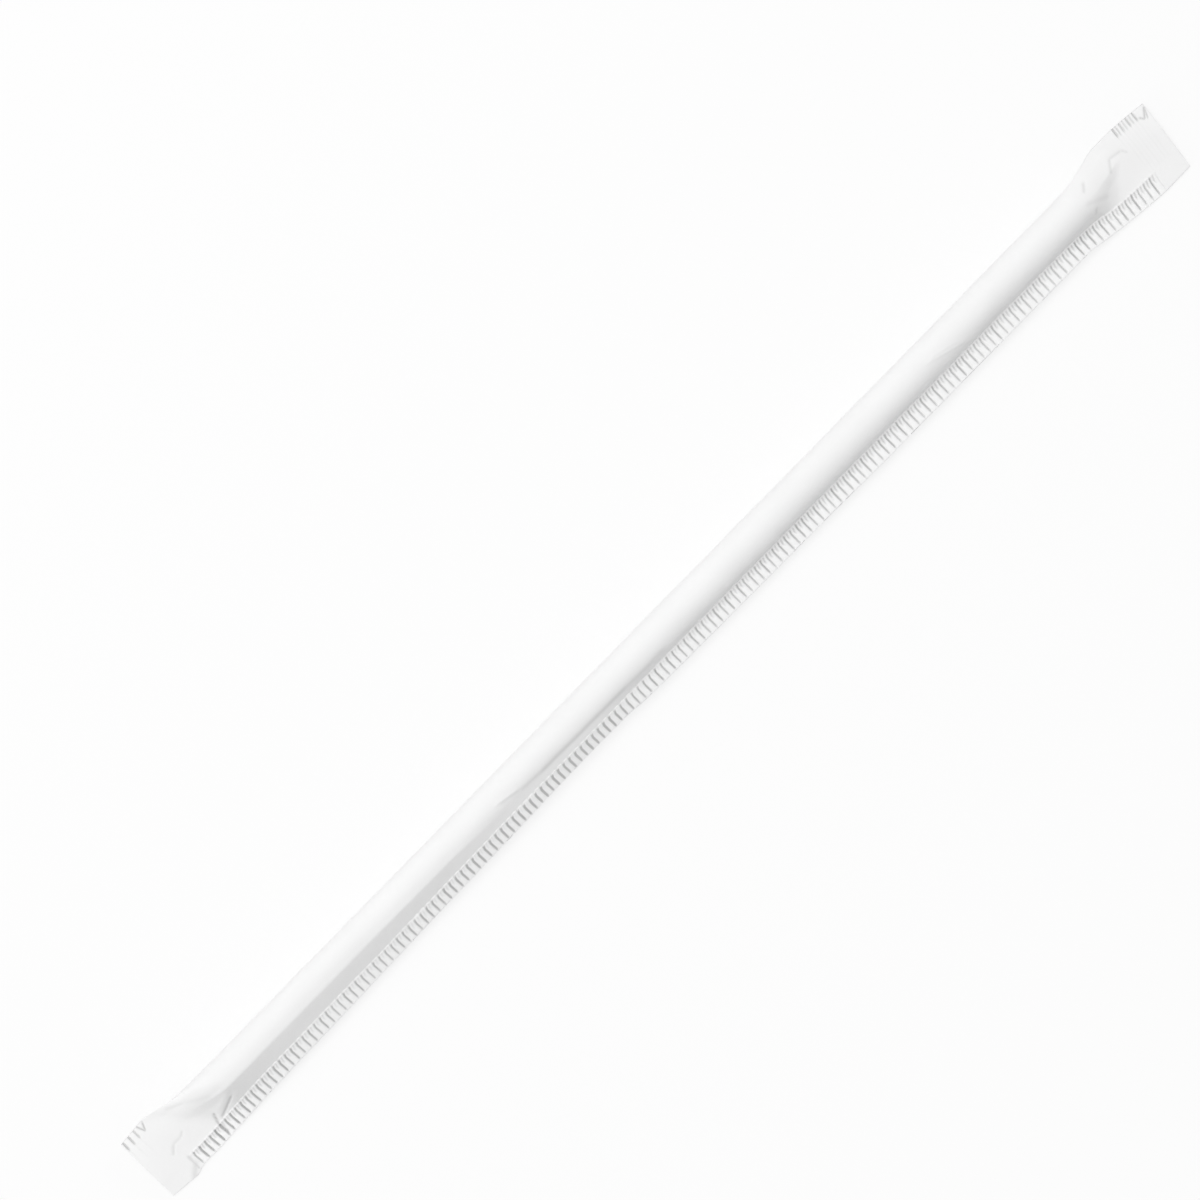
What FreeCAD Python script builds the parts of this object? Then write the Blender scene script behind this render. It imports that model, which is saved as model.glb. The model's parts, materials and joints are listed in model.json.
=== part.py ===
import FreeCAD, Part
import Sketcher
import math
import os

# A drinking straw sealed in a paper wrapper, lying at rest. Millimetres.
# X runs along the straw, the crimped seam points to -Y and Z is up.
# The body is drawn with the seam's plane as XY and the straw's axis above it.
# Its Placement tilts it until the flat ends' seam corners reach the surface.

SIZES = {
    # The straw, which shows only through the paper
    "straw_length": 197.0,
    "straw_diameter": 6.0,
    # The paper round it
    "paper_thickness": 0.05,
    "rest_flat_width": 1.0,
    # The seam along the wrapper, its root measured from the straw's axis
    "seam_root_reach": 4.1,
    "seam_plane_drop": 1.1,
    "seam_width": 3.2,
    "seam_thickness": 0.55,
    "seam_bury": 0.25,
    "seam_overrun": 0.2,
    "low_seam_flare": 20.0,
    "high_seam_flare": 13.0,
    # The seam's crimps: grooves over and under it by turns
    "crimp_pitch": 1.32,
    "crimp_depth": 0.36,
    "crimp_floor": 0.4,
    "crimp_flank": 0.2,
    "crimp_land": 0.35,
    # The flat ends, and the shoulders where the tube flattens into them
    "flat_width": 12.9,
    "flat_fold_reach": 4.4,
    "flat_thickness": 0.3,
    "low_shoulder": 9.0,
    "high_shoulder": 10.0,
    "low_flat_length": 5.7,
    "high_flat_length": 7.3,
    "high_end_skew": 1.4,
    "shoulder_bury": 0.06,
    # The bars of the cross seals
    "bar_count": 4,
    "bar_width": 0.45,
    "bar_height": 0.1,
    "bar_margin": 0.7,
}

FOLD_ARC = math.radians(16)
REST_CUT_DEPTH = 1.0
REST_CUT_HALF_WIDTH = 1.5

# Expressions of the sheet's cells that several sketches share
LOW_RIM = "(-size.straw_length / 2)"
HIGH_RIM = "(size.straw_length / 2)"
LOW_FLAT = f"({LOW_RIM} - size.low_shoulder)"
HIGH_FLAT = f"({HIGH_RIM} + size.high_shoulder)"
LOW_END = f"({LOW_FLAT} - size.low_flat_length)"
HIGH_END = f"({HIGH_FLAT} + size.high_flat_length)"
SEAM_START = f"({LOW_FLAT} - size.seam_overrun)"
SEAM_STOP = f"({HIGH_FLAT} + size.seam_overrun)"
RADIUS = "(size.straw_diameter / 2 + size.paper_thickness)"
SEAM_ROOT = "sqrt(size.seam_root_reach ^ 2 - size.seam_plane_drop ^ 2)"
FLAT_SEAM_EDGE = "(size.flat_width - size.flat_fold_reach)"
FLAT_ROOT = f"({FLAT_SEAM_EDGE} - size.seam_width)"
FLAT_HALF = "size.flat_thickness / 2"
LOFT_HALF = "(size.flat_thickness / 2 - size.shoulder_bury)"


def fill_sheet(doc):
    """Put every size in a cell of its own, under its name."""
    sheet = doc.addObject("Spreadsheet::Sheet", "size")
    for row, (name, value) in enumerate(SIZES.items(), start=1):
        sheet.set(f"A{row}", name)
        sheet.set(f"B{row}", str(value))
        sheet.setAlias(f"B{row}", name)
    doc.recompute()
    return sheet


def origin_feature(body, role):
    for feature in body.Origin.OriginFeatures:
        if feature.Role == role:
            return feature
    raise RuntimeError(f"no {role} in {body.Name}")


def new_sketch(body, name, plane, offset="0"):
    """A sketch on one of the body's own planes, set off along its normal."""
    sketch = body.newObject("Sketcher::SketchObject", name)
    sketch.AttachmentSupport = [(origin_feature(body, plane), "")]
    sketch.MapMode = "FlatFace"
    sketch.setExpression("AttachmentOffset.Base.z", offset)
    return sketch


def bind(sketch, kind, arguments, name, start, expression):
    """Add a named dimension that follows an expression of the sheet."""
    sketch.addConstraint(Sketcher.Constraint(kind, *arguments, start))
    sketch.renameConstraint(sketch.ConstraintCount - 1, name)
    sketch.setExpression(f"Constraints.{name}", expression)


def polygon(sketch, corners):
    """Draw a closed polygon whose corners are pairs of sheet expressions.

    It starts as points on a unit circle, and its constraints then move each corner.
    """
    count = len(corners)
    turns = [2 * math.pi * index / count for index in range(count)]
    points = [FreeCAD.Vector(math.cos(turn), math.sin(turn), 0) for turn in turns]
    for edge in range(count):
        sketch.addGeometry(Part.LineSegment(points[edge], points[(edge + 1) % count]))
    for edge, (across, up) in enumerate(corners):
        following = (edge + 1) % count
        sketch.addConstraint(Sketcher.Constraint("Coincident", edge, 2, following, 1))
        bind(sketch, "DistanceX", (edge, 1), f"across{edge}", points[edge].x, across)
        bind(sketch, "DistanceY", (edge, 1), f"up{edge}", points[edge].y, up)


def tangent_angle(radius, across, up, side):
    """Angle at which a line from a point beside a circle touches it."""
    reach = math.hypot(across, up)
    return math.atan2(up, across) % (2 * math.pi) - side * math.acos(radius / reach)


def section_angles(sheet):
    """Angles on the straw where the paper leaves it for the seam's root."""
    radius = sheet.straw_diameter / 2 + sheet.paper_thickness
    drop = sheet.seam_plane_drop
    root = math.sqrt(sheet.seam_root_reach**2 - drop**2)
    half = sheet.flat_thickness / 2
    over = tangent_angle(radius, -root, half - drop, 1)
    under = tangent_angle(radius, -root, -half - drop, -1)
    return radius, drop, root, half, over, under


def tube_section(body, name, sheet, position):
    """The paper round the straw: a circle drawn out to the seam's root."""
    radius, drop, root, half, over, under = section_angles(sheet)
    sketch = new_sketch(body, name, "YZ_Plane", position)
    circle = Part.Circle(FreeCAD.Vector(0, drop, 0), FreeCAD.Vector(0, 0, 1), radius)

    def on_circle(angle):
        return FreeCAD.Vector(radius * math.cos(angle), drop + radius * math.sin(angle), 0)

    root_over = FreeCAD.Vector(-root, half, 0)
    root_under = FreeCAD.Vector(-root, -half, 0)
    sketch.addGeometry(
        [
            Part.LineSegment(root_under, root_over),
            Part.LineSegment(root_over, on_circle(over)),
            Part.ArcOfCircle(circle, FOLD_ARC, over),
            Part.ArcOfCircle(circle, -FOLD_ARC, FOLD_ARC),
            Part.ArcOfCircle(circle, under - 2 * math.pi, -FOLD_ARC),
            Part.LineSegment(on_circle(under), root_under),
        ],
        False,
    )
    joints = [(0, 2, 1, 1), (3, 2, 2, 1), (4, 2, 3, 1), (5, 2, 0, 1)]
    for joint in joints:
        sketch.addConstraint(Sketcher.Constraint("Coincident", *joint))
    sketch.addConstraint(Sketcher.Constraint("Tangent", 1, 2, 2, 2))
    sketch.addConstraint(Sketcher.Constraint("Tangent", 5, 1, 4, 1))
    for arc in (3, 4):
        sketch.addConstraint(Sketcher.Constraint("Coincident", 2, 3, arc, 3))
    bind(sketch, "Radius", (2,), "radius", radius, RADIUS)
    bind(sketch, "DistanceX", (2, 3), "axis_across", 0, "0")
    bind(sketch, "DistanceY", (2, 3), "axis_up", drop, "size.seam_plane_drop")
    bind(sketch, "DistanceX", (0, 1), "root_under_across", -root, f"-{SEAM_ROOT}")
    bind(sketch, "DistanceY", (0, 1), "root_under_up", -half, f"-{FLAT_HALF}")
    bind(sketch, "DistanceX", (0, 2), "root_over_across", -root, f"-{SEAM_ROOT}")
    bind(sketch, "DistanceY", (0, 2), "root_over_up", half, FLAT_HALF)
    return sketch


def flat_section(body, name, sheet, position):
    """The end of a shoulder, divided as the section round the straw is."""
    radius, drop, root, half, over, under = section_angles(sheet)
    line_over = math.sqrt(root**2 + (half - drop) ** 2 - radius**2)
    line_under = math.sqrt(root**2 + (half + drop) ** 2 - radius**2)
    share_over = line_over / (line_over + radius * (over - FOLD_ARC))
    share_under = line_under / (line_under + radius * (2 * math.pi - under - FOLD_ARC))
    fold = "(size.flat_fold_reach - size.shoulder_bury)"
    span = f"({fold} + {FLAT_ROOT})"
    sketch = new_sketch(body, name, "YZ_Plane", position)
    corners = [
        (f"-{FLAT_ROOT}", f"-{LOFT_HALF}"),
        (f"-{FLAT_ROOT}", LOFT_HALF),
        (f"{share_over} * {span} - {FLAT_ROOT}", LOFT_HALF),
        (fold, LOFT_HALF),
        (fold, f"-{LOFT_HALF}"),
        (f"{share_under} * {span} - {FLAT_ROOT}", f"-{LOFT_HALF}"),
    ]
    polygon(sketch, corners)
    return sketch


def pad(body, name, sketch, length, midplane=False):
    feature = body.newObject("PartDesign::Pad", name)
    feature.Profile = sketch
    feature.Midplane = midplane
    feature.setExpression("Length", length)
    body.Document.recompute()
    return feature


def pocket(body, name, sketch, length, midplane=False, reversed_way=False):
    feature = body.newObject("PartDesign::Pocket", name)
    before = feature.BaseFeature.Shape.Volume
    feature.Profile = sketch
    feature.Midplane = midplane
    feature.Reversed = reversed_way
    feature.setExpression("Length", length)
    body.Document.recompute()
    if feature.Shape.Volume >= before:
        raise RuntimeError(f"{name} cuts nothing")
    return feature


def pattern(body, name, originals, count, spacing):
    """Repeat features along the straw."""
    feature = body.newObject("PartDesign::LinearPattern", name)
    feature.Originals = originals
    feature.Direction = (origin_feature(body, "X_Axis"), [""])
    feature.setExpression("Occurrences", count)
    feature.setExpression("Length", f"({count} - 1) * {spacing}")
    body.Tip = feature
    body.Document.recompute()
    return feature


def add_tube(body, sheet):
    """The round length over the straw, and the shoulder past each rim."""
    low = tube_section(body, "low_rim_section", sheet, LOW_RIM)
    pad(body, "tube", low, "size.straw_length")
    high = tube_section(body, "high_rim_section", sheet, HIGH_RIM)
    for end, rim, position in (("low", low, LOW_FLAT), ("high", high, HIGH_FLAT)):
        flat = flat_section(body, f"{end}_flat_section", sheet, position)
        shoulder = body.newObject("PartDesign::AdditiveLoft", f"{end}_shoulder")
        shoulder.Profile = rim
        shoulder.Sections = [flat]
        shoulder.Ruled = True
        body.Document.recompute()


def add_flat_ends(body):
    """Both layers of the paper pressed flat past the straw."""
    low_corners = [
        (LOW_END, "size.flat_fold_reach"),
        (LOW_FLAT, "size.flat_fold_reach"),
        (LOW_RIM, f"{RADIUS} - size.seam_plane_drop"),
        (LOW_RIM, f"-{SEAM_ROOT} + size.seam_bury"),
        (LOW_FLAT, f"-{FLAT_SEAM_EDGE}"),
        (LOW_END, f"-{FLAT_SEAM_EDGE}"),
    ]
    high_corners = [
        (f"{HIGH_END} - size.high_end_skew", f"-{FLAT_SEAM_EDGE}"),
        (HIGH_FLAT, f"-{FLAT_SEAM_EDGE}"),
        (HIGH_RIM, f"-{SEAM_ROOT} + size.seam_bury"),
        (HIGH_RIM, f"{RADIUS} - size.seam_plane_drop"),
        (HIGH_FLAT, "size.flat_fold_reach"),
        (HIGH_END, "size.flat_fold_reach"),
    ]
    for end, corners in (("low", low_corners), ("high", high_corners)):
        sketch = new_sketch(body, f"{end}_flat_outline", "XY_Plane")
        polygon(sketch, corners)
        pad(body, f"{end}_flat_end", sketch, "size.flat_thickness", midplane=True)


def add_seam(body):
    """The seam's band, wider set where the ends flare."""
    buried = f"-({SEAM_ROOT} - size.seam_bury)"
    edge = f"-({SEAM_ROOT} + size.seam_width)"
    corners = [
        (SEAM_START, f"-{FLAT_ROOT}"),
        (LOW_RIM, buried),
        (HIGH_RIM, buried),
        (SEAM_STOP, f"-{FLAT_ROOT}"),
        (SEAM_STOP, f"-{FLAT_SEAM_EDGE}"),
        (f"{SEAM_STOP} - size.high_seam_flare", edge),
        (f"{SEAM_START} + size.low_seam_flare", edge),
        (SEAM_START, f"-{FLAT_SEAM_EDGE}"),
    ]
    sketch = new_sketch(body, "seam_outline", "XY_Plane")
    polygon(sketch, corners)
    pad(body, "seam", sketch, "size.seam_thickness", midplane=True)


def add_bars(body):
    """The cross seals: bars pressed across both flat ends."""
    seal_width = "((size.bar_count - 1) * size.crimp_pitch + size.bar_width)"
    starts = {
        "low": f"({LOW_END} + size.bar_margin)",
        "high": f"({HIGH_END} - size.high_end_skew - size.bar_margin - {seal_width})",
    }
    for end, start in starts.items():
        stop = f"{start} + size.bar_width"
        fold_side = "size.flat_fold_reach - size.bar_height"
        seam_side = f"-{FLAT_SEAM_EDGE} + size.bar_height"
        sketch = new_sketch(body, f"{end}_bar_outline", "XY_Plane")
        corners = [(start, seam_side), (stop, seam_side), (stop, fold_side), (start, fold_side)]
        polygon(sketch, corners)
        thickness = "size.flat_thickness + 2 * size.bar_height"
        bar = pad(body, f"{end}_bar", sketch, thickness, midplane=True)
        pattern(body, f"{end}_bars", [bar], "size.bar_count", "size.crimp_pitch")


def crimp_groove(body, name, centre, root, side):
    """One groove across the seam, over it (side 1) or under it (side -1)."""
    surface = "size.seam_thickness / 2"
    floor = f"{side} * ({surface} - size.crimp_depth)"
    mouth = f"{side} * ({surface} + size.crimp_depth)"
    floor_half = "size.crimp_floor / 2"
    mouth_half = f"({floor_half} + 2 * size.crimp_flank)"
    sketch = new_sketch(body, f"{name}_profile", "XZ_Plane", root)
    corners = [
        (f"{centre} - {mouth_half}", mouth),
        (f"{centre} - {floor_half}", floor),
        (f"{centre} + {floor_half}", floor),
        (f"{centre} + {mouth_half}", mouth),
    ]
    polygon(sketch, corners)
    return pocket(body, name, sketch, "size.flat_width", reversed_way=True)


def add_crimps(body, sheet):
    """Grooves over and under the seam by turns, in three runs of one pitch."""
    low_run = sheet.seam_overrun + sheet.low_shoulder
    high_run = low_run + sheet.straw_length
    whole_run = high_run + sheet.high_shoulder + sheet.seam_overrun

    def crimps_before(distance):
        return math.ceil(distance / sheet.crimp_pitch - 0.5)

    tube_start = crimps_before(low_run)
    tube_stop = crimps_before(high_run)
    last = crimps_before(whole_run - sheet.crimp_pitch)
    runs = (
        ("low_end", 0, tube_start, FLAT_ROOT),
        ("high_end", tube_stop, last, FLAT_ROOT),
        ("tube", tube_start, tube_stop, SEAM_ROOT),
    )
    for run, start, stop, root in runs:
        grooves = []
        for place, side, shift in (("over", 1, 0.5), ("under", -1, 1.0)):
            centre = f"({SEAM_START} + {start + shift} * size.crimp_pitch)"
            inner = f"{root} + size.crimp_land"
            grooves.append(crimp_groove(body, f"{run}_groove_{place}", centre, inner, side))
        pattern(body, f"{run}_crimps", grooves, str(stop - start), "size.crimp_pitch")


def rest_tilt(sheet):
    """Tilt at which the seam's corners and the tube's underside share a plane."""
    radius = sheet.straw_diameter / 2 + sheet.paper_thickness
    rest_height = math.sqrt(radius**2 - (sheet.rest_flat_width / 2) ** 2)
    across = sheet.flat_width - sheet.flat_fold_reach
    down = sheet.seam_plane_drop + sheet.seam_thickness / 2
    tilt = math.asin(rest_height / math.hypot(across, down)) - math.atan2(down, across)
    return tilt, rest_height


def add_rest_flat(body, sheet):
    """The narrow flat that the paper takes under the straw where it lies."""
    tilt, rest_height = rest_tilt(sheet)
    down = FreeCAD.Vector(-math.sin(tilt), -math.cos(tilt), 0)
    along = FreeCAD.Vector(math.cos(tilt), -math.sin(tilt), 0)
    centre = FreeCAD.Vector(0, sheet.seam_plane_drop, 0) + down * rest_height
    corners = [
        centre - along * REST_CUT_HALF_WIDTH,
        centre + along * REST_CUT_HALF_WIDTH,
        centre + along * REST_CUT_HALF_WIDTH + down * REST_CUT_DEPTH,
        centre - along * REST_CUT_HALF_WIDTH + down * REST_CUT_DEPTH,
    ]
    sketch = new_sketch(body, "rest_cut", "YZ_Plane")
    polygon(sketch, [(str(corner.x), str(corner.y)) for corner in corners])
    pocket(body, "rest_flat", sketch, f"2 * {HIGH_END}", midplane=True)


def set_at_rest(body, sheet):
    """Tilt the body on to its rest plane, centred over the origin."""
    tilt, rest_height = rest_tilt(sheet)
    turn = FreeCAD.Rotation(FreeCAD.Vector(1, 0, 0), math.degrees(tilt))
    axis = turn.multVec(FreeCAD.Vector(0, 0, sheet.seam_plane_drop))
    body.Placement = FreeCAD.Placement(FreeCAD.Vector(0, 0, rest_height - axis.z), turn)
    middle = body.Shape.BoundBox.Center
    body.Placement.Base = body.Placement.Base - FreeCAD.Vector(middle.x, middle.y, 0)
    body.Document.recompute()


def wrapped_straw(doc, sheet):
    body = doc.addObject("PartDesign::Body", "wrapped_straw")
    body.Label = "wrapped_straw"
    add_tube(body, sheet)
    add_rest_flat(body, sheet)
    add_flat_ends(body)
    add_seam(body)
    add_bars(body)
    add_crimps(body, sheet)
    set_at_rest(body, sheet)
    return body


def check(doc, body):
    """Stop before anything is written if a feature or the solid is bad."""
    for item in doc.Objects:
        if "Invalid" in item.State or "Error" in item.State:
            raise RuntimeError(f"{item.Name} failed: {item.State}")
    shape = body.Shape
    if shape.isNull() or not shape.isValid():
        raise RuntimeError(f"{body.Label} has no valid shape")
    if len(shape.Solids) != 1:
        raise RuntimeError(f"{body.Label} is {len(shape.Solids)} solids")


def main():
    doc = FreeCAD.newDocument("wrapped_drinking_straw")
    sheet = fill_sheet(doc)
    body = wrapped_straw(doc, sheet)
    doc.recompute()
    check(doc, body)
    os.makedirs("parts", exist_ok=True)
    body.Shape.exportStep(f"parts/{body.Label}.step")
    box = body.Shape.BoundBox
    print(f"{body.Label}: {box.XLength:.2f} x {box.YLength:.2f} x {box.ZLength:.2f} mm")


main()
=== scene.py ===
import json
import math

import bpy
import numpy as np
from bpy.props import FloatProperty, FloatVectorProperty, IntProperty, PointerProperty
from bpy.types import Operator, Panel, PropertyGroup
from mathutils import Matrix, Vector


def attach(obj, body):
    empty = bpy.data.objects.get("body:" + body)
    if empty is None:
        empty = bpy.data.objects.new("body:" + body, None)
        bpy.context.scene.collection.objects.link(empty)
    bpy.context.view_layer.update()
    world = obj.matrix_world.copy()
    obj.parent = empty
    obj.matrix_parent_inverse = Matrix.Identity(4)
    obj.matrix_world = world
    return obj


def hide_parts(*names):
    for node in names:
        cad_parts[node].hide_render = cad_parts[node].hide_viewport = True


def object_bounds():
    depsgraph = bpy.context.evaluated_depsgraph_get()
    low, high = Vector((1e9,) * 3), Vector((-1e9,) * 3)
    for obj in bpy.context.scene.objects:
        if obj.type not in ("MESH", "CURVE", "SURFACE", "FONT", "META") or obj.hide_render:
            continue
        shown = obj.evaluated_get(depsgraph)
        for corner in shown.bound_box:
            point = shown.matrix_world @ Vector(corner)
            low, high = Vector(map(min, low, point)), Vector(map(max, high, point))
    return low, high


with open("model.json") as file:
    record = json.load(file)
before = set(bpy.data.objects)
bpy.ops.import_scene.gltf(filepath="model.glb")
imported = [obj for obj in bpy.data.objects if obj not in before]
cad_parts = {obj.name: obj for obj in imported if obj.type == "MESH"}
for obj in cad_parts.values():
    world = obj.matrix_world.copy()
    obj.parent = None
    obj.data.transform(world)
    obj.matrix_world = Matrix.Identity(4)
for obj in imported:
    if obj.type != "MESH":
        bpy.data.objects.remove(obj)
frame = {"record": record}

bl_info = {
    "name": "Wrapped Drinking Straw",
    "version": (1, 0, 0),
    "blender": (4, 5, 0),
    "location": "View3D > Sidebar > Straw",
    "description": "Builds a drinking straw's crimped paper wrapper around its packed solid",
    "category": "Add Mesh",
}

# Plan places are millimetres: x along the straw, and side from its axis, positive away from the seam.
MM = 0.001
CAD_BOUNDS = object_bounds()
REST = frame["record"]["mounts"][0]["pos_m"]
AXIS_Y = REST[1] / MM
STRAW_HALF_LENGTH = 98.5
RIM_LOW = REST[0] / MM - STRAW_HALF_LENGTH
RIM_HIGH = REST[0] / MM + STRAW_HALF_LENGTH
END_LOW = CAD_BOUNDS[0][0] / MM
END_HIGH = CAD_BOUNDS[1][0] / MM

# Where the seam's root and its outer edge run: x, root side, root height, edge side, edge height.
SEAM_PATH = (
    (-114.3, -4.85, 1.00, -7.54, 0.45),
    (-109.7, -4.85, 0.95, -8.06, 0.30),
    (-108.1, -4.80, 0.95, -7.45, 0.45),
    (-104.6, -4.77, 1.00, -7.50, 0.45),
    (-101.0, -4.62, 1.20, -7.33, 0.50),
    (-95.2, -4.35, 2.10, -7.12, 0.90),
    (-92.0, -4.20, 2.60, -6.96, 1.20),
    (-85.8, -4.15, 3.00, -6.81, 1.60),
    (-78.0, -4.05, 3.10, -6.70, 1.70),
    (-62.3, -3.95, 3.20, -6.38, 1.75),
    (-49.8, -3.75, 3.40, -6.10, 1.90),
    (-43.5, -3.66, 3.60, -6.03, 2.00),
    (-37.3, -3.55, 3.80, -5.90, 2.15),
    (-29.4, -3.50, 4.00, -5.71, 2.30),
    (-18.5, -3.45, 4.05, -5.52, 2.35),
    (-10.7, -3.40, 3.70, -5.60, 2.20),
    (-7.5, -3.35, 3.40, -5.92, 2.10),
    (-2.7, -3.30, 3.10, -6.05, 1.95),
    (3.3, -3.25, 2.90, -6.10, 1.85),
    (16.0, -3.20, 2.75, -6.22, 1.85),
    (31.6, -3.20, 2.65, -6.35, 1.85),
    (45.7, -3.25, 2.60, -6.55, 1.85),
    (88.0, -3.38, 2.45, -6.60, 1.75),
    (92.6, -3.48, 2.12, -6.60, 1.52),
    (94.6, -3.65, 1.90, -6.98, 1.30),
    (97.0, -3.90, 1.60, -7.30, 1.05),
    (98.9, -4.35, 1.35, -7.60, 0.80),
    (102.0, -4.62, 1.15, -7.92, 0.55),
    (105.2, -4.77, 1.00, -8.22, 0.45),
    (108.3, -4.85, 0.95, -8.48, 0.40),
    (113.8, -4.90, 0.95, -8.40, 0.42),
)
# Where the fold opposite the seam runs once the tube has gone flat: x, side, height.
FOLD_PATH = (
    (-114.3, 3.99, 1.50),
    (-109.2, 4.40, 1.75),
    (-104.0, 4.45, 2.20),
    (-99.9, 4.45, 2.50),
    (97.3, 4.50, 2.50),
    (102.0, 4.50, 2.10),
    (107.5, 4.52, 1.65),
    (112.6, 3.98, 1.50),
    (114.7, 3.70, 1.45),
)
# Where the tube starts to go flat and where it is flat, by share of the way from the root to the fold.
LOW_SHOULDER = (
    (0.00, -96.4, -101.3),
    (0.35, -96.2, -103.6),
    (0.55, -96.4, -105.3),
    (0.80, -98.0, -107.0),
    (1.00, -100.2, -108.8),
)
HIGH_SHOULDER = (
    (0.00, 97.0, 101.8),
    (0.35, 96.7, 103.2),
    (0.55, 96.4, 104.8),
    (0.80, 95.4, 104.1),
    (1.00, 94.7, 102.3),
)
# How far the lines across the paper lean: x, travel along for each millimetre to the side.
LEAN_PATH = (
    (-114.3, 0.01),
    (-106.7, -0.06),
    (-99.7, -0.05),
    (-89.7, 0.0),
    (90.3, 0.0),
    (96.3, 0.06),
    (101.3, 0.11),
    (108.3, 0.134),
    (114.7, 0.134),
)

# Where the flank above the seam bends over the straw: x, side, height.
BEND_PATH = (
    (-60.0, -1.60, 5.76),
    (-46.0, -1.70, 5.66),
    (-36.0, -2.10, 5.25),
    (-29.0, -2.35, 4.97),
    (-9.0, -2.40, 4.90),
    (0.0, -2.62, 4.60),
    (12.0, -2.80, 4.30),
    (80.0, -2.86, 4.20),
    (97.0, -2.80, 4.30),
)
# How far the crimps run ahead of an even pitch: x, share of a pitch.
CRIMP_DRIFT = (
    (-114.5, -0.44),
    (-109.2, -0.44),
    (-107.6, -0.32),
    (-105.4, -0.32),
    (-100.0, 0.42),
    (-94.0, 0.44),
    (-81.0, 0.46),
    (-62.0, 0.29),
    (-50.0, 0.19),
    (-37.0, 0.31),
    (-25.0, 0.61),
    (-12.0, 0.95),
    (0.0, 1.15),
    (31.0, 1.15),
    (56.0, 1.12),
    (81.0, 1.02),
    (94.0, 1.05),
    (100.0, 0.79),
    (107.0, 0.70),
    (108.0, 0.82),
    (113.5, 0.56),
)
# How strong the crimps are along the seam: x, share, and the share of the short groove between two.
BAND_STRENGTH = (
    (-108.8, 0.0, 0.5),
    (-108.2, 0.7, 0.5),
    (-107.0, 1.45, 0.6),
    (-88.0, 1.25, 0.6),
    (-78.0, 1.05, 0.5),
    (-70.0, 1.00, 0.5),
    (-50.0, 1.35, 0.4),
    (-30.0, 1.65, 0.12),
    (-14.0, 1.55, 0.12),
    (-5.0, 1.15, 0.2),
    (5.0, 0.95, 0.6),
    (20.0, 0.98, 1.0),
    (75.0, 0.92, 1.0),
    (107.6, 1.00, 1.0),
    (108.8, 0.0, 1.0),
)
# Folds and creases: start and end along and to the side, half width, height, and how much painted shade
# darkens them.
CREASES = (
    ((-109.92, -3.1), (-108.72, -1.93), 0.22, -0.08, 0.30),
    ((-108.72, -1.93), (-107.02, -1.93), 0.20, -0.08, 0.20),
    ((-107.02, -1.93), (-106.22, -1.41), 0.20, -0.08, 0.25),
    ((-105.62, 2.90), (-102.52, 1.46), 0.25, -0.06, 0.16),
    ((-102.72, 1.60), (-98.82, -0.60), 0.35, 0.0, 0.12),
    ((-110.22, -7.90), (-108.32, -6.30), 0.45, 0.0, 0.40),
    ((-108.52, -4.70), (-108.62, -7.60), 0.20, -0.05, 0.55),
    ((-100.82, -2.90), (-101.47, -4.75), 0.19, -0.14, 0.95),
    ((-101.47, -4.75), (-101.22, -6.80), 0.20, -0.20, 0.85),
    ((-100.32, -4.35), (-96.62, -2.97), 0.19, -0.20, 0.80),
    ((-99.82, -3.20), (-96.42, -2.20), 0.45, 0.12, 0.10),
    ((98.45, 1.85), (97.35, 0.67), 0.25, -0.06, 0.38),
    ((104.25, 1.49), (102.75, -0.39), 0.25, -0.07, 0.32),
    ((104.25, 1.49), (106.55, 1.06), 0.20, -0.06, 0.30),
    ((106.55, 1.06), (107.05, 0.23), 0.20, -0.06, 0.28),
    ((96.15, -1.02), (100.15, -2.58), 0.42, -0.06, 0.20),
    ((96.55, -3.10), (97.15, -2.46), 0.20, -0.08, 0.40),
    ((-35.30, -0.67), (-30.90, -1.41), 0.16, 0.15, 0.0),
    ((-34.60, -1.05), (-30.40, -1.80), 0.22, 0.0, 0.18),
    ((-30.80, -1.82), (-24.00, -2.18), 0.26, 0.0, 0.32),
    ((-27.50, -2.10), (-7.00, -2.33), 0.28, -0.06, 0.50),
    ((-12.00, -2.33), (1.00, -2.33), 0.28, 0.0, 0.28),
    ((61.00, -0.44), (65.50, -1.71), 0.16, 0.13, 0.0),
    ((65.50, -1.71), (68.20, -2.49), 0.16, 0.13, 0.0),
    ((62.20, -0.33), (65.70, -1.11), 0.15, 0.10, 0.0),
    ((65.70, -1.11), (68.20, -2.27), 0.15, 0.10, 0.0),
    ((-110.82, 4.30), (-110.22, 2.75), 0.14, -0.08, 1.0),
    ((-110.22, 2.75), (-109.57, 4.20), 0.14, -0.08, 1.0),
    ((112.25, 2.60), (112.75, 1.88), 0.14, -0.08, 0.85),
    ((112.75, 1.88), (114.05, 3.45), 0.14, -0.08, 0.90),
    ((113.15, 1.60), (114.05, 3.35), 0.12, 0.0, 0.85),
)
# Rows across the seam's band, from its root, as shares of its width, on its upper and its lower layer.
BAND_ROWS = np.array([0.0, 0.04, 0.08, 0.125, 0.19, 0.28, 0.39, 0.50, 0.62, 0.75, 0.84, 0.91, 0.955, 1.0])
BAND_BACK_ROWS = np.array([1.0, 0.94, 0.84, 0.62, 0.39, 0.19, 0.08, 0.0])
# Rows round the tube's upper and lower half, as shares of the way from the seam's root to the fold.
UPPER_ROWS = np.concatenate([[1.0, 0.990], np.linspace(0.970, 0.045, 43), [0.02]])
LOWER_ROWS = np.concatenate([[0.03], np.linspace(0.09, 0.93, 14), [0.985]])
ROWS_ABOVE = len(UPPER_ROWS) + len(BAND_ROWS) + len(BAND_BACK_ROWS)
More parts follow.
